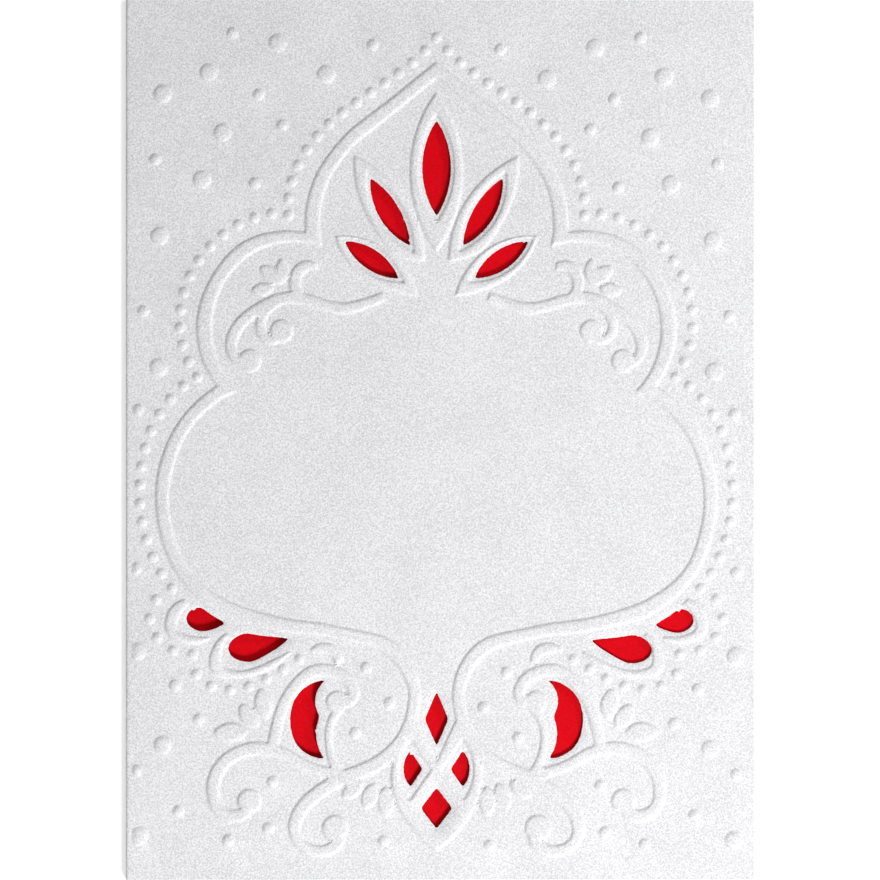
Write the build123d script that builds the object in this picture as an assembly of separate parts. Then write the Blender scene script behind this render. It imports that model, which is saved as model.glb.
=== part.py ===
from build123d import *
from math import asin, ceil, degrees
import os

# Sheet
CARD_WIDTH = 127.0
CARD_HEIGHT = 177.8
STOCK = 0.4
FOLD_INNER_RADIUS = 0.75
EDGE_GAP = 0.08

# Red sheet glued to the back panel, seen through the windows
BACKING_STOCK = 0.2
BACKING_MARGIN = 4.0

# Embossing
EMBOSS_HEIGHT = 0.45
EMBOSS_SHIFT = -0.7
RIDGE_MARGIN = 0.55
BEAD_DIAMETER = 2.3
LARGE_DOT_DIAMETER = 3.8
SMALL_DOT_DIAMETER = 2.5
DOT_TAPER = 50.0
DOT_SIDES = 7
SCATTER_DROP = 0.9

# The teardrop windows on the right are cut a little out of step with their mirror images
TEARDROP_SHIFT_X = 1.4
TEARDROP_SHIFT_Y = -0.35

# Curves are drawn as chords that leave the true arc by no more than this
FLATNESS = 0.09
DISC_SIDES = 12

# The ornament is drawn on a grid of 127 by 177.8 units that covers the front
GRID_X = CARD_WIDTH / 127
GRID_Y = CARD_HEIGHT / 177.8
BREADTH = min(GRID_X, GRID_Y)


def at(x, y):
    """The place of a grid point on the front, from the ornament's centre."""
    return Vector(x * GRID_X, y * GRID_Y)


def smooth(points):
    """Tangent arcs through the points, two to a gap, that meet with one heading."""
    chords = [after - before for before, after in zip(points, points[1:])]
    inner = [
        (before / before.length**2 + after / after.length**2).normalized()
        for before, after in zip(chords, chords[1:])
    ]
    first = chords[0].normalized()
    last = chords[-1].normalized()
    start = first * (2 * inner[0].dot(first)) - inner[0]
    end = last * (2 * inner[-1].dot(last)) - inner[-1]
    headings = [start, *inner, end]
    edges = []
    for index, chord in enumerate(chords):
        leave = headings[index]
        arrive = headings[index + 1]
        reach = chord.dot(leave + arrive)
        spread = 2 * (1 - leave.dot(arrive))
        handle = chord.dot(chord) / (reach + (reach**2 + spread * chord.dot(chord)) ** 0.5)
        joint = (points[index] + points[index + 1] + (leave - arrive) * handle) / 2
        edges += bend(points[index], joint, leave)
        edges += bend(points[index + 1], joint, arrive * -1)
    return edges


def bend(start, end, heading):
    """One arc that leaves its start on a heading, drawn as the few chords that keep it flat enough."""
    chord = end - start
    sine = heading.cross(chord.normalized()).length
    facets = ceil((chord.length * sine / 4 / FLATNESS) ** 0.5)
    if facets < 2:
        return [Line(start, end)]
    arc = TangentArc(start, end, tangent=heading)
    corners = [arc.position_at(step / facets) for step in range(facets + 1)]
    return [Line(before, after) for before, after in zip(corners, corners[1:])]


def closed(*runs):
    """A flat face bounded by runs of places: two places make a line, more make one smooth curve."""
    edges = []
    for run in runs:
        edges += [Line(*run)] if len(run) == 2 else smooth(run)
    return make_face(edges)


def outline(*runs):
    """A flat face whose runs are given as grid points."""
    return closed(*[[at(*point) for point in run] for run in runs])


def stroke(*stations):
    """A tapering scroll arm through stations of x, y and width, with square ends."""
    centres = [at(x, y) for x, y, width in stations]
    left = []
    right = []
    for index, (_, _, width) in enumerate(stations):
        before = centres[max(index - 1, 0)]
        after = centres[min(index + 1, len(centres) - 1)]
        along = (after - before).normalized()
        side = Vector(-along.Y, along.X) * (width * BREADTH / 2)
        left.append(centres[index] + side)
        right.append(centres[index] - side)
    return closed(left, [left[-1], right[-1]], right[::-1], [right[0], left[0]])


def disc(x, y, diameter):
    return Pos(at(x, y)) * RegularPolygon(diameter * BREADTH / 2, DISC_SIDES)


def petal(head, tip, width):
    """A small drop with a round head and a pointed tip."""
    head = at(*head)
    tip = at(*tip)
    reach = (head - tip).normalized() * (width * BREADTH / 2)
    side = Vector(-reach.Y, reach.X)
    return closed([tip, head + side, head + reach, head - side, tip])


def along(count, *points):
    """Evenly spaced places on a smooth curve, both ends included."""
    path = Spline(*[at(*point) for point in points])
    return [path.position_at(step / (count - 1)) for step in range(count)]


# Windows, drawn for the right-hand half about the ornament's upright axis
CENTRE_LEAF_WINDOW = outline(
    [(0, 64.7), (2.9, 54.9), (0, 45.2)],
    [(0, 45.2), (0, 64.7)],
)
UPPER_LEAF_WINDOW = outline(
    [(13.4, 53.0), (7.7, 47.0), (5.3, 39.2)],
    [(5.3, 39.2), (11.3, 44.6), (13.4, 53.0)],
)
LOWER_LEAF_WINDOW = outline(
    [(18.6, 40.2), (11.8, 38.0), (7.6, 32.6)],
    [(7.6, 32.6), (14.6, 35.0), (18.6, 40.2)],
)
SMALL_TEARDROP_WINDOW = outline(
    [(42.7, -37.0), (45.5, -35.3), (48.3, -33.8), (50.6, -36.1), (48.6, -38.4), (45.4, -38.3), (42.7, -37.0)],
)
LARGE_TEARDROP_WINDOW = outline(
    [(29.8, -40.1), (35.5, -39.5), (39.6, -39.3), (42.1, -42.3), (38.6, -44.8), (34.1, -43.2), (29.8, -40.1)],
)
CRESCENT_WINDOW = outline(
    [(22.4, -48.5), (27.1, -50.4), (29.6, -57.0), (27.3, -62.6), (22.7, -64.4)],
    [(22.7, -64.4), (24.3, -60.0), (23.6, -55.8)],
    [(23.6, -55.8), (24.5, -52.2), (22.4, -48.5)],
)
TOP_LOZENGE_WINDOW = outline(
    [(0, -50.8), (2.4, -56.4)],
    [(2.4, -56.4), (0, -61.9)],
    [(0, -61.9), (0, -50.8)],
)
SIDE_LOZENGE_WINDOW = outline(
    [(5.3, -62.7), (2.8, -66.5)],
    [(2.8, -66.5), (5.3, -70.2)],
    [(5.3, -70.2), (6.7, -66.6), (5.3, -62.7)],
)
BOTTOM_LOZENGE_WINDOW = outline(
    [(0, -70.2), (3.2, -74.4)],
    [(3.2, -74.4), (0, -78.6)],
    [(0, -78.6), (0, -70.2)],
)
HALF_WINDOWS = Sketch() + [
    CENTRE_LEAF_WINDOW,
    UPPER_LEAF_WINDOW,
    LOWER_LEAF_WINDOW,
    CRESCENT_WINDOW,
    TOP_LOZENGE_WINDOW,
    SIDE_LOZENGE_WINDOW,
    BOTTOM_LOZENGE_WINDOW,
]
TEARDROPS = SMALL_TEARDROP_WINDOW + LARGE_TEARDROP_WINDOW
RIGHT_TEARDROPS = Pos(TEARDROP_SHIFT_X, TEARDROP_SHIFT_Y) * TEARDROPS
WINDOWS = HALF_WINDOWS + mirror(HALF_WINDOWS + TEARDROPS, Plane.YZ) + RIGHT_TEARDROPS

# Cartouche: one band from the arch's point down to the swoosh that turns in at the foot
CARTOUCHE = outline(
    [(0, 76.5), (9.8, 68.6), (19.5, 60.6), (25.2, 51.7), (26.6, 42.1)],
    [(26.6, 42.1), (32.2, 42.2), (38.6, 40.3), (45.5, 33.0), (48.5, 23.2), (44.5, 10.9)],
    [(44.5, 10.9), (51.3, 4.8), (56.0, -5.0), (56.3, -17.0), (51.6, -28.4), (44.3, -34.9), (32.0, -38.5),
     (18.5, -40.5), (9.4, -44.0), (5.7, -51.0)],
    [(5.7, -51.0), (3.1, -51.0)],
    [(3.1, -51.0), (7.1, -42.0), (19.4, -37.7), (32.9, -35.4), (43.0, -31.9), (49.5, -26.8), (53.4, -17.6),
     (53.2, -5.6), (48.7, 3.6), (40.2, 9.8)],
    [(40.2, 9.8), (45.3, 22.2), (42.4, 32.5), (36.4, 38.1), (31.0, 39.8), (23.0, 39.0)],
    [(23.0, 39.0), (22.3, 51.0), (18.2, 57.8), (9.8, 65.0), (0, 73.0)],
    [(0, 73.0), (0, 76.5)],
)

# Palmette: three raised leaves, each standing round its window
CENTRE_LEAF = outline(
    [(0, 70.6), (5.4, 54.5), (0, 37.8)],
    [(0, 37.8), (0, 70.6)],
)
UPPER_LEAF = outline(
    [(16.8, 57.6), (11.8, 54.7), (5.0, 46.9), (2.3, 36.0)],
    [(2.3, 36.0), (7.8, 37.4), (13.4, 44.0), (16.8, 57.6)],
)
LOWER_LEAF = outline(
    [(20.6, 41.2), (12.2, 39.8), (6.0, 34.4), (3.6, 29.0)],
    [(3.6, 29.0), (10.8, 30.7), (16.5, 34.3), (20.6, 41.2)],
)
PALMETTE = [
    leaf - offset(window, amount=RIDGE_MARGIN, kind=Kind.INTERSECTION)
    for leaf, window in (
        (CENTRE_LEAF, CENTRE_LEAF_WINDOW),
        (UPPER_LEAF, UPPER_LEAF_WINDOW),
        (LOWER_LEAF, LOWER_LEAF_WINDOW),
    )
]

# Upper scrolls
UPPER_SCROLLS = [
    stroke(
        (10.4, 29.0, 2.0), (14.4, 27.6, 2.2), (18.1, 26.6, 2.4), (23.1, 27.4, 2.4), (27.6, 28.7, 2.5),
        (31.6, 28.5, 2.5), (35.5, 26.7, 2.5), (39.2, 24.0, 2.5), (41.0, 21.3, 2.5), (41.5, 18.6, 2.3),
        (40.6, 16.4, 2.0), (38.4, 15.2, 1.8),
    ),
    disc(37.7, 16.0, 4.8),
    stroke(
        (31.0, 28.1, 1.6), (33.8, 26.7, 2.1), (35.5, 24.0, 2.0), (35.2, 21.4, 2.0), (33.4, 20.1, 1.8),
        (31.5, 20.6, 1.6),
    ),
    disc(31.3, 22.0, 4.8),
    stroke((24.0, 34.9, 1.6), (26.8, 35.0, 2.4), (28.6, 32.2, 2.4), (27.5, 29.0, 2.4)),
    petal((31.3, 35.8), (31.0, 31.6), 1.8),
    petal((34.6, 34.3), (31.0, 31.6), 2.4),
    petal((36.2, 30.2), (32.8, 30.7), 2.4),
]

# Ridges that hold the two teardrops and the crescent
HOLDERS = [
    stroke(
        (50.2, -32.6, 1.6), (53.2, -35.4, 2.6), (53.4, -38.4, 2.4), (50.3, -40.3, 1.8), (47.2, -40.3, 1.2),
        (45.7, -39.9, 0.4),
    ),
    stroke(
        (42.1, -39.2, 1.0), (44.4, -42.6, 2.0), (44.5, -45.9, 2.6), (40.3, -47.3, 1.6), (36.0, -46.5, 1.6),
        (31.6, -44.3, 1.3), (29.5, -42.8, 0.4),
    ),
    stroke((19.8, -45.2, 1.8), (20.5, -42.9, 2.2), (22.9, -42.0, 2.2), (25.4, -42.6, 1.0)),
    stroke(
        (33.1, -62.0, 2.4), (32.2, -57.5, 2.4), (30.8, -53.2, 2.4), (28.3, -49.4, 2.5), (24.4, -46.6, 2.6),
        (20.4, -47.0, 2.6), (17.5, -49.0, 2.5), (16.8, -51.7, 2.4), (18.7, -53.6, 1.6),
    ),
    disc(20.1, -52.9, 4.6),
    stroke((19.6, -54.2, 2.0), (21.6, -58.0, 1.7), (21.7, -61.5, 1.7), (19.8, -67.2, 2.4)),
    petal((43.6, -59.0), (37.9, -59.0), 2.8),
    petal((38.8, -54.6), (36.1, -58.2), 2.8),
    petal((35.3, -51.6), (34.4, -56.6), 2.8),
]

# Lower scrolls
LOWER_SCROLLS = [
    stroke(
        (20.0, -67.6, 2.4), (26.6, -65.6, 2.2), (30.6, -63.4, 2.4), (35.5, -62.3, 2.8), (39.9, -63.1, 2.8),
        (42.9, -65.1, 2.8), (44.8, -68.3, 2.8), (45.1, -71.7, 2.6), (44.3, -74.2, 2.5), (42.2, -75.8, 2.6),
        (39.7, -75.8, 2.6), (37.6, -74.2, 2.0),
    ),
    disc(37.8, -72.9, 5.0),
    stroke(
        (4.4, -50.5, 2.6), (4.8, -54.9, 2.6), (6.4, -59.6, 2.8), (9.2, -63.2, 3.0), (13.0, -65.9, 3.0),
        (17.5, -67.7, 3.0), (21.1, -69.4, 2.9), (24.9, -72.0, 2.9), (27.7, -75.1, 2.8), (28.7, -78.4, 2.6),
        (27.8, -81.2, 2.4), (25.1, -82.9, 2.4), (22.2, -82.9, 2.5), (20.0, -81.4, 2.4), (19.0, -79.4, 1.6),
    ),
    disc(20.5, -78.4, 5.4),
    petal((18.0, -71.4), (14.8, -68.9), 2.6),
    petal((14.0, -73.2), (12.2, -69.2), 2.7),
    petal((10.2, -74.8), (10.2, -69.8), 2.6),
]

# Knot at the foot: a pointed leaf, pierced by three lozenge cells
SIDE_CELL = outline(
    [(5.3, -60.6), (1.2, -66.6)],
    [(1.2, -66.6), (5.4, -72.6)],
    [(5.4, -72.6), (7.4, -66.7), (5.3, -60.6)],
)
BOTTOM_CELL = outline(
    [(0, -68.4), (4.3, -74.8)],
    [(4.3, -74.8), (0, -80.6)],
    [(0, -80.6), (0, -68.4)],
)
KNOT = outline(
    [(0, -64.7), (4.2, -55.7)],
    [(4.2, -55.7), (8.4, -62.8), (9.2, -69.7), (5.0, -78.6), (0, -83.2)],
    [(0, -83.2), (0, -64.7)],
) - SIDE_CELL - BOTTOM_CELL

HALF_RIDGES = Sketch() + [CARTOUCHE, *PALMETTE, *UPPER_SCROLLS, *HOLDERS, *LOWER_SCROLLS, KNOT]
RIDGES = HALF_RIDGES + mirror(HALF_RIDGES, Plane.YZ)

# Beads along the outside of the cartouche and under the teardrops
HALF_BEADS = [
    *along(15, (0, 81.3), (7.2, 74.4), (15.6, 68.6), (23.7, 61.8), (27.9, 55.6), (29.9, 45.4)),
    *along(13, (33.3, 45.7), (43.1, 41.5), (49.6, 33.5), (51.8, 23.6), (48.3, 12.7)),
    *along(13, (51.1, 10.9), (57.7, 1.7), (59.9, -9.0), (58.4, -20.7), (53.4, -30.0)),
    *along(5, (56.6, -32.2), (57.9, -36.2), (54.2, -42.0), (49.2, -43.3)),
    *along(7, (48.5, -47.3), (41.8, -50.5), (33.9, -48.0), (27.7, -44.3)),
]

# Dots scattered over the field
LARGE_DOTS = [
    (22.3, 73.9), (32.1, 80.2), (46.0, 74.3), (55.3, 69.9), (43.2, 62.1), (47.4, 52.6), (55.9, 41.2),
    (56.1, 14.7), (60.5, -42.8), (55.3, -61.6), (60.1, -80.0),
]
SMALL_DOTS = [
    (12.9, 79.8), (41.2, 82.2), (35.9, 69.8), (31.1, 63.6), (56.8, 56.7), (36.7, 51.9), (59.2, 26.0),
    (60.2, 6.1), (60.6, -25.9), (52.8, -49.5), (48.0, -56.4), (60.6, -66.7), (33.1, -69.0), (52.1, -74.9),
    (34.0, -78.4), (42.1, -80.8), (10.7, -81.0), (14.2, -46.0), (9.5, -53.1), (16.5, -59.2),
]


# Sheet folded once at the left edge: the back panel is flat, and the front panel leans in from the
# roundness of the fold until its free edge all but rests on the red sheet
FOLD_OUTER_RADIUS = FOLD_INNER_RADIUS + STOCK
PANEL_LENGTH = CARD_WIDTH - FOLD_OUTER_RADIUS
LEAN_ANGLE = degrees(asin((2 * FOLD_INNER_RADIUS - BACKING_STOCK - EDGE_GAP) / PANEL_LENGTH))
FRONT = Location((FOLD_OUTER_RADIUS - CARD_WIDTH / 2, 0, FOLD_OUTER_RADIUS), (0, LEAN_ANGLE, 0))
ORNAMENT = Pos(CARD_WIDTH / 2 - FOLD_OUTER_RADIUS + EMBOSS_SHIFT, 0)
PANEL = Pos(PANEL_LENGTH / 2, 0) * Rectangle(PANEL_LENGTH, CARD_HEIGHT)


def studs(places, diameter, drop):
    """Low studs with a few flat sides, on both halves, those on the right set lower by the drop."""
    stud = RegularPolygon(diameter / 2, DOT_SIDES)
    right = [Pos(place.X, place.Y - drop) * stud for place in places]
    left = [Pos(-place.X, place.Y) * stud for place in places if place.X > 0]
    return right + left


STUDS = [
    *studs(HALF_BEADS, BEAD_DIAMETER, 0),
    *studs([at(*dot) for dot in LARGE_DOTS], LARGE_DOT_DIAMETER, SCATTER_DROP),
    *studs([at(*dot) for dot in SMALL_DOTS], SMALL_DOT_DIAMETER, SCATTER_DROP),
]


def fold():
    """The bend between the two panels."""
    start = 90 - LEAN_ANGLE
    turn = 180 + LEAN_ANGLE
    outer = CenterArc((0, 0), FOLD_OUTER_RADIUS, start, turn)
    inner = CenterArc((0, 0), FOLD_INNER_RADIUS, start, turn)
    section = make_face([outer, inner, Line(outer @ 0, inner @ 0), Line(outer @ 1, inner @ 1)])
    return Pos(FRONT.position) * extrude(Plane.XZ * section, CARD_HEIGHT / 2, both=True)


def folded_card():
    front = extrude(Pos(0, 0, FOLD_INNER_RADIUS) * (PANEL - ORNAMENT * WINDOWS), STOCK)
    raised = Pos(0, 0, FOLD_OUTER_RADIUS) * ORNAMENT * (RIDGES - WINDOWS)
    front += extrude(raised, EMBOSS_HEIGHT)
    scatter = Pos(0, 0, FOLD_OUTER_RADIUS) * ORNAMENT * (Sketch() + STUDS)
    front += extrude(scatter, EMBOSS_HEIGHT, taper=DOT_TAPER)
    back = extrude(Pos(FRONT.position.X, 0) * PANEL, STOCK)
    return back + fold() + FRONT * front


def red_backing():
    sheet = Rectangle(PANEL_LENGTH - 2 * BACKING_MARGIN, CARD_HEIGHT - 2 * BACKING_MARGIN)
    place = Pos(FRONT.position.X + PANEL_LENGTH / 2, 0, STOCK)
    return extrude(place * sheet, BACKING_STOCK)


os.makedirs("parts", exist_ok=True)
export_step(folded_card(), "parts/folded_card.step")
export_step(red_backing(), "parts/red_backing.step")
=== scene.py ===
import bpy
import bmesh
from math import asin, ceil, cos, pi, radians, sin, tan
from mathutils import Matrix, Vector, noise
from mathutils.bvhtree import BVHTree
from mathutils.geometry import delaunay_2d_cdt
from mathutils.kdtree import KDTree


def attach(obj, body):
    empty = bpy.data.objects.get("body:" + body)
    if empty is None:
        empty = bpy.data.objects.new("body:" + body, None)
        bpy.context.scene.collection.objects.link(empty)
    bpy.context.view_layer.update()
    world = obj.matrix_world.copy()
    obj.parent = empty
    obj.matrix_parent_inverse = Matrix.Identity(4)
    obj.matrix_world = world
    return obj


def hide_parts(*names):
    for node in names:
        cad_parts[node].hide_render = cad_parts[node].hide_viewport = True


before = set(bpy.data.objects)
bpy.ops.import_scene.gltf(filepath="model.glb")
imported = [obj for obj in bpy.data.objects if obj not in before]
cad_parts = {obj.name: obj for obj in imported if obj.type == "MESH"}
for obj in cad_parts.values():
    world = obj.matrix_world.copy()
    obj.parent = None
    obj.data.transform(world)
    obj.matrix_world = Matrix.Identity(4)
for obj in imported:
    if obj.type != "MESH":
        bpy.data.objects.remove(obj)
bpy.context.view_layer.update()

# The sheet is worked in millimetres, in the front panel's own frame, and set in place at the end
MM = 0.001
WIDTH = 127.0
HEIGHT = 177.8
STOCK = 0.4
FOLD_RADIUS = 1.15
FOLD_STEPS = 24
FOLD_SQUARENESS = 4.5
CLOSED_GAP = 0.28
PANEL = WIDTH - FOLD_RADIUS
LEAN = asin((2 * (FOLD_RADIUS - STOCK) - CLOSED_GAP) / PANEL)
UNDERSIDE = FOLD_RADIUS - STOCK
TOP = FOLD_RADIUS
EMBOSS = 0.45
PLATEAU = TOP + EMBOSS
TO_ROW = Matrix.Translation((FOLD_RADIUS - WIDTH / 2, 0, FOLD_RADIUS)) @ Matrix.Rotation(LEAN, 4, "Y")

# Slack for places and heights, how upright a level face's normal is, and the angle that makes a crease
TINY = 1e-4
SOLID_MERGE = 1e-3
SKIN_SLACK = 1e-6
LEVEL_SLACK = 0.02
LEVEL_FACING = 0.9
CREASE = radians(50)

# Pressed card rises in a steep shoulder at its outline, then in a slight crown
SHOULDER_OUT = 0.10
RIDGE_SHOULDER = 0.42
RIDGE_HEIGHT = 0.38
RIDGE_REACH = 1.3
RIDGE_CROWN = 0.12
RIDGE_ROWS = (-0.24, -0.10, 0.03, 0.16, 0.29, 0.42, 0.80)
OUTLINE_SLACK = 0.05
ROW_STEP = 0.5
FINE_STEP = 0.1
CORNER = radians(38)

# Card spans a slot that has raised card on most of its sides
SLOT = 0.35
SLOT_SIDES = 8
SLOT_WALLS = 6

# Studs: the taper of the solid ones tells each stud's foot from its flat top
STUD_CORNERS = 7
STUD_TAPER = radians(50)
STUD_FLARE = EMBOSS * tan(STUD_TAPER)
STUD_SHOULDER = 0.34
STUD_HEIGHT = 0.45
STUD_CROWN = 0.6
STUD_STEP = 0.5
STUD_FEWEST_SIDES = 6
STUD_RINGS = (-0.24, -0.10, 0.02, 0.16, 0.34, 0.75)
FOLD_FADE = 0.8

# Die-cut windows: a rolled lip, a slightly uneven cut and a few torn nicks
CUT_STEP = 0.22
CUT_UNEVEN = 0.07
CUT_WAVES = 1.6
CUT_WEAR = 10
LIP_WIDTH = 0.2
LIP_ROOM = 1.2 * LIP_WIDTH
LIP_DROP = 0.09
NICK_WIDTH = 0.5
NICK_DEPTH = 0.6
NICKS = (
    (-10.0, 34.6), (-6.9, 44.8), (-5.8, 40.4), (-25.3, -58.7), (-49.7, -34.2),
    (40.1, -39.2), (17.0, 39.8), (-5.7, -63.2), (48.3, -34.4),
)

# Spacing of the plain field and of the border, and the room that points leave around each other
FIELD_STEP = 2.2
FIELD_ROW = 0.87 * FIELD_STEP
FIELD_ROOM = 0.75
EDGE_ROOM = 0.12
CLOSEST = 0.13
BORDER_STEP = 2.0
BORDER_SLACK = 0.1

# Paper colours: each pale colour goes on the crests of the grain and its deeper tone in the hollows. This
# is partly the paper's own uneven tone, and partly painted shade in the hollows and painted sparkle on the
# crests.
PEARL = (0.96, 0.96, 0.975)
PEARL_HOLLOW_TONE_AND_SHADE = (0.65, 0.65, 0.665)
RED = (0.76, 0.0015, 0.009)
RED_HOLLOW_TONE_AND_SHADE = (0.64, 0.0005, 0.006)

# Paper grain, turned so that it lies even on the sheet, and the slow clouding over it
GRAIN_TURN = (0.7, 0.5, 0.3)
GRAIN_DETAIL = 3.0
GRAIN_ROUGHNESS = 0.7
# Grain levels at which the colour turns fully to the hollow tone and to the crest tone. The same noise
# drives the bump, so this is painted shade in the hollows and painted sparkle on the crests, on top of the
# paper's own uneven tone.
GRAIN_HOLLOW_SHADE_LEVEL = 0.40
GRAIN_CREST_SPARKLE_LEVEL = 0.60
SHINE_FROM = 0.3
SHINE_TO = 0.7
SHINE_SPREAD = 0.06
CLOUD = 16.0
CLOUD_DETAIL = 2.0
CLOUD_SHARE = 0.1

# Studio: the light all round, the floor and the camera, in metres, and the sensor in millimetres
FILL = 0.29
FLOOR_SIZE = 2.0
FLOOR_COLOUR = (0.9, 0.9, 0.9, 1)
FLOOR_ROUGHNESS = 0.9
FLOOR_GLOW = 0.5
WHITE = (1, 1, 1, 1)
CAMERA_DISTANCE = 1.2
SENSOR = 36

# Lamps: name, place, width and strength, in metres and watts
LAMPS = (
    ("low_lamp", (0.25, -0.55, 0.52), 0.22, 5.4),
    ("side_lamp", (0.36, 0.19, 0.22), 0.12, 0.71),
)


def pressed(depth, shoulder, height, reach, crown):
    """Height of pressed card at a depth inside its outline: a steep shoulder, then a slight crown."""
    rise = min(max((depth + SHOULDER_OUT) / (SHOULDER_OUT + shoulder), 0.0), 1.0)
    swell = min(max(depth / reach, 0.0), 1.0)
    return height * ((1 - crown) * rise * rise * (3 - 2 * rise) + crown * swell * (2 - swell))


def card_in_panel_frame():
    """A merged copy of the solid card, turned into the front panel's frame."""
    bm = bmesh.new()
    bm.from_mesh(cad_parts["folded_card"].data)
    bm.transform(TO_ROW.inverted() @ Matrix.Scale(1 / MM, 4))
    bmesh.ops.remove_doubles(bm, verts=bm.verts, dist=SOLID_MERGE)
    bm.normal_update()
    return bm


def faces_at(bm, level):
    """Level faces at a height, in the mesh's own order."""
    return [
        face for face in bm.faces
        if abs(face.normal.z) > LEVEL_FACING
        and all(abs(vert.co.z - level) < LEVEL_SLACK for vert in face.verts)
    ]


def outlines(faces):
    """Closed chains of points round a group of faces."""
    members = set(faces)
    links = {}
    for face in faces:
        for loop in face.loops:
            if sum(other in members for other in loop.edge.link_faces) == 1:
                links.setdefault(loop.vert, []).append(loop.link_loop_next.vert)
    chains = []
    while links:
        start = next(iter(links))
        chain = [start]
        here = start
        while True:
            onward = links[here].pop()
            if not links[here]:
                del links[here]
            if onward is start:
                break
            chain.append(onward)
            here = onward
        chains.append([Vector((vert.co.x, vert.co.y)) for vert in chain])
    return chains


def rounded(chain, step):
    """The chain's corners kept, and the runs between them drawn as smooth curves."""
    count = len(chain)
    legs = [chain[(i + 1) % count] - chain[i] for i in range(count)]
    leave = []
    arrive = []
    for i in range(count):
        before = legs[i - 1]
        after = legs[i]
        if before.angle(after, 0.0) > CORNER:
            arrive.append(before.normalized())
            leave.append(after.normalized())
        else:
            heading = (before / before.length_squared + after / after.length_squared).normalized()
            arrive.append(heading)
            leave.append(heading)
    points = []
    for i in range(count):
        start = chain[i]
        end = chain[(i + 1) % count]
        reach = legs[i].length
        pieces = max(1, ceil(reach / step))
        for j in range(pieces):
            t = j / pieces
            points.append(
                start * (2 * t**3 - 3 * t**2 + 1) + leave[i] * reach * (t**3 - 2 * t**2 + t)
                + end * (3 * t**2 - 2 * t**3) + arrive[(i + 1) % count] * reach * (t**3 - t**2)
            )
    return points


def softened(points, rounds):
    """The same closed line with its corners worn round."""
    count = len(points)
    for _ in range(rounds):
        points = [(points[i - 1] + points[i] * 2 + points[(i + 1) % count]) / 4 for i in range(count)]
    return points


def outward(points):
    """Unit vectors that point away from the face each chain runs round."""
    count = len(points)
    turns = []
    for i in range(count):
        along = points[(i + 1) % count] - points[i - 1]
        turns.append(Vector((along.y, -along.x)).normalized())
    return turns


def tree_of(points):
    """A tree that finds the nearest of the points."""
    tree = KDTree(len(points))
    for index, point in enumerate(points):
        tree.insert((point.x, point.y, 0), index)
    tree.balance()
    return tree


class Field:
    """Points of the sheet's upper side, all on the panel and none too close to another."""

    def __init__(self):
        self.points = []
        self.heights = []
        self.cells = {}

    def near(self, point, room):
        """Whether another point lies within the room."""
        reach = ceil(room / CLOSEST)
        column = round(point.x / CLOSEST)
        row = round(point.y / CLOSEST)
        for i in range(column - reach, column + reach + 1):
            for j in range(row - reach, row + reach + 1):
                for index in self.cells.get((i, j), ()):
                    if (self.points[index] - point).length < room:
                        return True
        return False

    def add(self, point, height, room=CLOSEST):
        """Add a point that has its room on the panel. A point that needs no room is always added."""
        inside = EDGE_ROOM < point.x < PANEL - EDGE_ROOM and abs(point.y) < HEIGHT / 2 - EDGE_ROOM
        if room and (not inside or self.near(point, room)):
            return None
        index = len(self.points)
        self.points.append(point)
        self.heights.append(height)
        cell = (round(point.x / CLOSEST), round(point.y / CLOSEST))
        self.cells.setdefault(cell, []).append(index)
        return index


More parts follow.
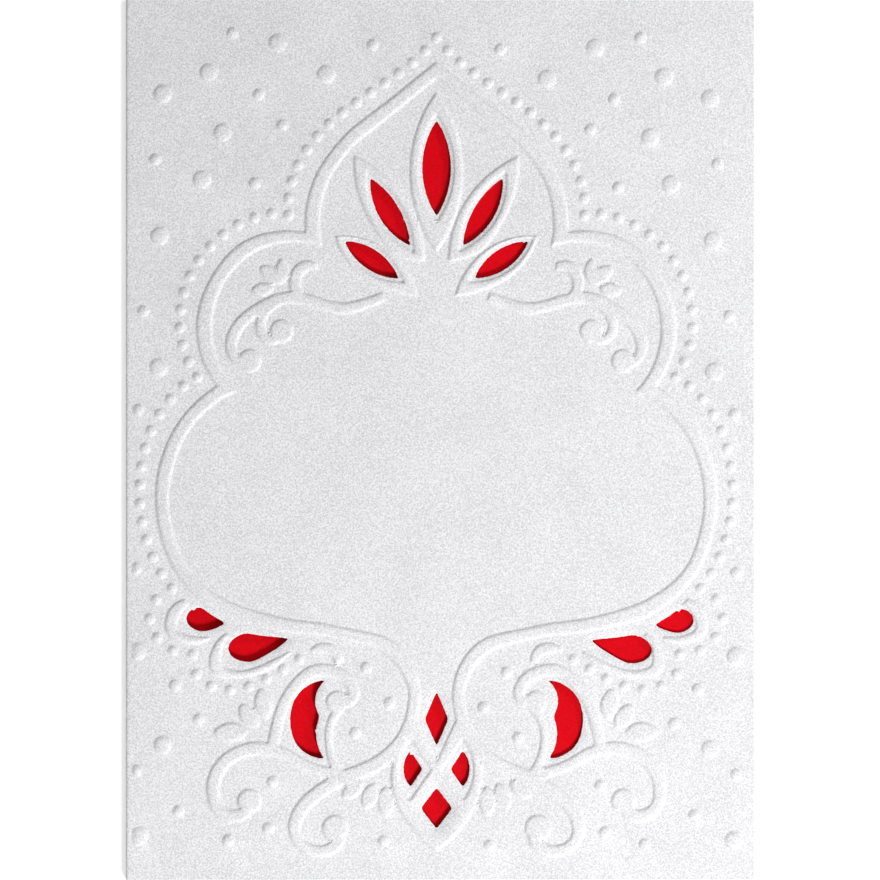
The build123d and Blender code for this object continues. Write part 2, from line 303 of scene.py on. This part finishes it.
def pressed_sheet():
    """The front panel's upper side, its pressed relief and its die-cut windows, as one skin of points."""
    card = card_in_panel_frame()
    solid = BVHTree.FromBMesh(card)
    plateaus = outlines(faces_at(card, PLATEAU))
    ridges = [chain for chain in plateaus if len(chain) > STUD_CORNERS]
    studs = [chain for chain in plateaus if len(chain) == STUD_CORNERS]
    openings = outlines(faces_at(card, UNDERSIDE))
    windows = [
        chain[::-1] for chain in openings
        if all(BORDER_SLACK < point.x < PANEL - BORDER_SLACK for point in chain)
    ]
    card.free()

    shoulder = tree_of([point for chain in ridges for point in rounded(chain, FINE_STEP)])
    field = Field()

    def level(point):
        hit = solid.ray_cast((point.x, point.y, PLATEAU + 1), (0, 0, -1))
        return hit[0].z if hit[0] else 0.0

    def on_card(point):
        return level(point) > UNDERSIDE + LEVEL_SLACK

    def raised(point):
        return level(point) > PLATEAU - LEVEL_SLACK

    def bridged(point):
        """Whether card spans the point, because it lies in a slot too narrow to be pressed."""
        turns = [2 * pi * k / SLOT_SIDES for k in range(SLOT_SIDES)]
        return sum(raised(point + Vector((cos(turn), sin(turn))) * SLOT) for turn in turns) >= SLOT_WALLS

    def ridge_height(point, inside):
        distance = shoulder.find((point.x, point.y, 0))[2]
        depth = distance if inside else -distance
        if not inside and distance < SLOT and bridged(point):
            depth = RIDGE_SHOULDER
        return pressed(depth, RIDGE_SHOULDER, RIDGE_HEIGHT, RIDGE_REACH, RIDGE_CROWN)

    # Border of the panel
    half = HEIGHT / 2
    corners = [Vector((0, -half)), Vector((PANEL, -half)), Vector((PANEL, half)), Vector((0, half))]
    for start, end in zip(corners, corners[1:] + corners[:1]):
        leg = end - start
        pieces = round(leg.length / BORDER_STEP)
        for j in range(pieces):
            field.add(start + leg * (j / pieces), 0.0, 0)

    # Windows: the cut edge, then the lip round it
    edges = [softened(rounded(chain, CUT_STEP), CUT_WEAR) for chain in windows]
    cuts = []
    for edge in edges:
        cut = []
        for point, turn in zip(edge, outward(edge)):
            uneven = CUT_UNEVEN * noise.noise(Vector((point.x, point.y, 0)) * CUT_WAVES)
            for x, y in NICKS:
                gap = (point - Vector((x + WIDTH / 2 - FOLD_RADIUS, y))).length
                uneven += NICK_DEPTH * max(0.0, 1 - gap / NICK_WIDTH)
            cut.append(field.add(point + turn * uneven, -LIP_DROP, 0))
        cuts.append(cut[::-1])
    cut_tree = tree_of([field.points[index] for cut in cuts for index in cut])
    for edge in edges:
        for point, turn in zip(edge, outward(edge)):
            spot = point - turn * LIP_WIDTH
            field.add(spot, ridge_height(spot, raised(spot)))

    def clear_of_cuts(point, room):
        return cut_tree.find((point.x, point.y, 0))[2] > room

    # Studs: rings from the foot up to the crown
    for chain in studs:
        centre = sum(chain, Vector((0, 0))) / len(chain)
        foot = (chain[0] - centre).length + STUD_FLARE
        for depth in STUD_RINGS:
            radius = foot - depth
            height = pressed(depth, STUD_SHOULDER, STUD_HEIGHT, foot, STUD_CROWN)
            sides = max(STUD_FEWEST_SIDES, round(2 * pi * radius / STUD_STEP))
            for k in range(sides):
                turn = 2 * pi * k / sides
                spot = centre + Vector((cos(turn), sin(turn))) * radius
                field.add(spot, height * min(1.0, spot.x / FOLD_FADE))
        field.add(centre, STUD_HEIGHT)

    # Ridges: rows of points that follow each outline across its shoulder
    for row in RIDGE_ROWS:
        for chain in ridges:
            line = rounded(chain, ROW_STEP)
            for point, turn in zip(line, outward(line)):
                spot = point - turn * row
                distance = shoulder.find((spot.x, spot.y, 0))[2]
                apart = distance > abs(row) - OUTLINE_SLACK
                if apart and clear_of_cuts(spot, LIP_ROOM) and on_card(spot):
                    inside = row > 0 if abs(row) < OUTLINE_SLACK else raised(spot)
                    field.add(spot, ridge_height(spot, inside))

    # Plain field and ridge tops
    rows = ceil(half / FIELD_STEP)
    for i in range(1, ceil(PANEL / FIELD_STEP)):
        for j in range(-rows, rows + 1):
            point = Vector(((i + 0.5 * (j % 2)) * FIELD_STEP, j * FIELD_ROW))
            if point.x < PANEL - FIELD_ROOM and abs(point.y) < half - FIELD_ROOM:
                if on_card(point) and clear_of_cuts(point, FIELD_ROOM):
                    field.add(point, ridge_height(point, raised(point)), FIELD_ROOM)
    return field, cuts


def folded_sheet():
    """The whole card: the pressed front, its cut edges, the fold and the plain back, closed all round."""
    field, cuts = pressed_sheet()
    places, _, triangles, origins, _, owners = delaunay_2d_cdt(
        field.points, [], cuts, 0, SKIN_SLACK, True,
    )
    bm = bmesh.new()
    verts = []
    for place, origin in zip(places, origins):
        height = field.heights[origin[0]] if origin else 0.0
        verts.append(bm.verts.new((place.x, place.y, TOP + height)))
    for triangle, owner in zip(triangles, owners):
        if not owner:
            bm.faces.new([verts[index] for index in triangle])
    bmesh.ops.delete(bm, geom=[vert for vert in bm.verts if not vert.link_faces], context="VERTS")

    # Thickness: every free edge drops to the underside, which is then filled between the windows
    rim = [edge for edge in bm.edges if edge.is_boundary]
    dropped = bmesh.ops.extrude_edge_only(bm, edges=rim)["geom"]
    for vert in dropped:
        if isinstance(vert, bmesh.types.BMVert):
            vert.co.z = UNDERSIDE
    hem = [edge for edge in dropped if isinstance(edge, bmesh.types.BMEdge) and edge.is_boundary]
    bmesh.ops.triangle_fill(bm, edges=hem, use_beauty=True, normal=(0, 0, -1))

    # Fold and back panel grow from the strip at the left edge, and the fold is pressed a little square
    strip = [face for face in bm.faces if all(abs(vert.co.x) < TINY for vert in face.verts)]
    bm.transform(TO_ROW)
    axis = TO_ROW.translation
    spun = bmesh.ops.spin(
        bm, geom=strip, cent=axis, axis=(0, 1, 0), angle=-pi - LEAN, steps=FOLD_STEPS,
    )["geom_last"]
    bmesh.ops.delete(bm, geom=[face for face in strip if face.is_valid], context="FACES")
    for vert in bm.verts:
        if vert.co.x < axis.x - TINY:
            across = (axis.x - vert.co.x) / FOLD_RADIUS
            up = abs(vert.co.z - axis.z) / FOLD_RADIUS
            radius = (across**2 + up**2) ** 0.5
            spread = radius / (across**FOLD_SQUARENESS + up**FOLD_SQUARENESS) ** (1 / FOLD_SQUARENESS)
            vert.co.x = axis.x + (vert.co.x - axis.x) * spread
            vert.co.z = axis.z + (vert.co.z - axis.z) * spread
    strip = [face for face in spun if isinstance(face, bmesh.types.BMFace)]
    grown = bmesh.ops.extrude_face_region(bm, geom=strip)["geom"]
    ends = [vert for vert in grown if isinstance(vert, bmesh.types.BMVert)]
    bmesh.ops.translate(bm, verts=ends, vec=(PANEL, 0, 0))
    bmesh.ops.delete(bm, geom=[face for face in strip if face.is_valid], context="FACES")

    bmesh.ops.remove_doubles(bm, verts=bm.verts, dist=TINY)
    bmesh.ops.recalc_face_normals(bm, faces=bm.faces)
    for face in bm.faces:
        face.smooth = True
    for edge in bm.edges:
        edge.smooth = len(edge.link_faces) == 2 and edge.calc_face_angle() < CREASE
    bm.transform(Matrix.Scale(MM, 4))
    mesh = bpy.data.meshes.new("pressed_card")
    bm.to_mesh(mesh)
    bm.free()
    return bpy.data.objects.new("pressed_card", mesh)


def paper(name, crest_tone_and_sparkle, hollow_tone_and_shade, grain, relief, roughness, gloss):
    """Card or paper: a fine grain in its surface and shine, and in its colour, over a faint slow
    cloudiness. The colour follows the grain's height: painted shade in the hollows and painted sparkle on
    the crests, over the paper's own uneven tone.
    """
    material = bpy.data.materials.new(name)
    material.use_nodes = True
    nodes = material.node_tree.nodes
    links = material.node_tree.links
    shader = nodes["Principled BSDF"]
    shader.inputs["Specular IOR Level"].default_value = gloss
    place = nodes.new("ShaderNodeTexCoord")
    turned = nodes.new("ShaderNodeMapping")
    turned.inputs["Rotation"].default_value = GRAIN_TURN
    fibres = nodes.new("ShaderNodeTexNoise")
    fibres.inputs["Scale"].default_value = 1 / (grain * MM)
    fibres.inputs["Detail"].default_value = GRAIN_DETAIL
    fibres.inputs["Roughness"].default_value = GRAIN_ROUGHNESS
    clouds = nodes.new("ShaderNodeTexNoise")
    clouds.inputs["Scale"].default_value = 1 / (CLOUD * MM)
    clouds.inputs["Detail"].default_value = CLOUD_DETAIL
    mottle = nodes.new("ShaderNodeMath")
    mottle.operation = "MULTIPLY_ADD"
    mottle.inputs[1].default_value = CLOUD_SHARE
    # Colour from the same noise as the bump: darker in the hollows as painted shade, paler on the crests
    # as painted sparkle, over the paper's own uneven tone.
    grain_tone_shade_and_sparkle = nodes.new("ShaderNodeValToRGB")
    grain_tone_shade_and_sparkle.color_ramp.elements[0].position = GRAIN_HOLLOW_SHADE_LEVEL + CLOUD_SHARE / 2
    grain_tone_shade_and_sparkle.color_ramp.elements[0].color = (*hollow_tone_and_shade, 1)
    grain_tone_shade_and_sparkle.color_ramp.elements[1].position = GRAIN_CREST_SPARKLE_LEVEL + CLOUD_SHARE / 2
    grain_tone_shade_and_sparkle.color_ramp.elements[1].color = (*crest_tone_and_sparkle, 1)
    shine = nodes.new("ShaderNodeMapRange")
    shine.inputs["From Min"].default_value = SHINE_FROM
    shine.inputs["From Max"].default_value = SHINE_TO
    shine.inputs["To Min"].default_value = roughness + SHINE_SPREAD
    shine.inputs["To Max"].default_value = roughness - SHINE_SPREAD
    bump = nodes.new("ShaderNodeBump")
    bump.inputs["Strength"].default_value = 1.0
    bump.inputs["Distance"].default_value = relief * MM
    links.new(place.outputs["Object"], turned.inputs["Vector"])
    links.new(turned.outputs["Vector"], fibres.inputs["Vector"])
    links.new(turned.outputs["Vector"], clouds.inputs["Vector"])
    links.new(clouds.outputs["Fac"], mottle.inputs[0])
    links.new(fibres.outputs["Fac"], mottle.inputs[2])
    links.new(mottle.outputs["Value"], grain_tone_shade_and_sparkle.inputs["Fac"])
    links.new(grain_tone_shade_and_sparkle.outputs["Color"], shader.inputs["Base Color"])
    links.new(fibres.outputs["Fac"], shine.inputs["Value"])
    links.new(shine.outputs["Result"], shader.inputs["Roughness"])
    links.new(fibres.outputs["Fac"], bump.inputs["Height"])
    links.new(bump.outputs["Normal"], shader.inputs["Normal"])
    return material


def dress():
    """The pressed card in the place of the solid one, and the red paper of the sheet inside it."""
    # Both papers carry painted shade in the hollows and painted sparkle on the crests of their grain.
    pearl = paper("pearl_card", PEARL, PEARL_HOLLOW_TONE_AND_SHADE, grain=0.32, relief=0.11, roughness=0.5, gloss=0.45)
    red = paper("red_paper", RED, RED_HOLLOW_TONE_AND_SHADE, grain=0.4, relief=0.02, roughness=0.6, gloss=0.06)
    card = folded_sheet()
    bpy.context.scene.collection.objects.link(card)
    card.data.materials.append(pearl)
    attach(card, "root")
    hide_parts("folded_card")
    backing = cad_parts["red_backing"]
    backing.data.materials.clear()
    backing.data.materials.append(red)


def studio():
    """White floor, soft light all round, a broad lamp at the lower right and a weaker one at the right."""
    scene = bpy.context.scene
    scene.view_settings.view_transform = "Standard"
    world = bpy.data.worlds.new("studio")
    world.use_nodes = True
    sky = world.node_tree.nodes["Background"]
    sky.inputs["Color"].default_value = WHITE
    sky.inputs["Strength"].default_value = FILL
    scene.world = world

    bm = bmesh.new()
    bmesh.ops.create_grid(bm, x_segments=1, y_segments=1, size=FLOOR_SIZE)
    mesh = bpy.data.meshes.new("floor")
    bm.to_mesh(mesh)
    bm.free()
    floor = bpy.data.objects.new("floor", mesh)
    scene.collection.objects.link(floor)
    white = bpy.data.materials.new("white_floor")
    white.use_nodes = True
    nodes = white.node_tree.nodes
    links = white.node_tree.links
    shader = nodes["Principled BSDF"]
    shader.inputs["Base Color"].default_value = FLOOR_COLOUR
    shader.inputs["Roughness"].default_value = FLOOR_ROUGHNESS
    shader.inputs["Emission Color"].default_value = WHITE
    path = nodes.new("ShaderNodeLightPath")
    shown = nodes.new("ShaderNodeMath")
    mirrored = nodes.new("ShaderNodeMath")
    mirrored.use_clamp = True
    glow = nodes.new("ShaderNodeMath")
    glow.operation = "MULTIPLY"
    glow.inputs[1].default_value = FLOOR_GLOW
    links.new(path.outputs["Is Camera Ray"], shown.inputs[0])
    links.new(path.outputs["Is Glossy Ray"], shown.inputs[1])
    links.new(shown.outputs["Value"], mirrored.inputs[0])
    links.new(path.outputs["Is Transmission Ray"], mirrored.inputs[1])
    links.new(mirrored.outputs["Value"], glow.inputs[0])
    links.new(glow.outputs["Value"], shader.inputs["Emission Strength"])
    mesh.materials.append(white)

    for name, place, size, energy in LAMPS:
        light = bpy.data.lights.new(name, "AREA")
        light.shape = "DISK"
        light.size = size
        light.energy = energy
        lamp = bpy.data.objects.new(name, light)
        lamp.location = place
        lamp.rotation_euler = (-Vector(place)).to_track_quat("-Z", "Y").to_euler()
        lamp.visible_camera = False
        scene.collection.objects.link(lamp)

    view = bpy.data.cameras.new("camera")
    camera = bpy.data.objects.new("camera", view)
    middle = (TO_ROW @ Vector((WIDTH / 2 - FOLD_RADIUS, 0, TOP))) * MM
    camera.location = (0, 0, middle.z + CAMERA_DISTANCE)
    view.sensor_fit = "HORIZONTAL"
    view.sensor_width = SENSOR
    view.lens = SENSOR * CAMERA_DISTANCE / (HEIGHT * MM)
    scene.collection.objects.link(camera)
    scene.camera = camera


dress()
studio()
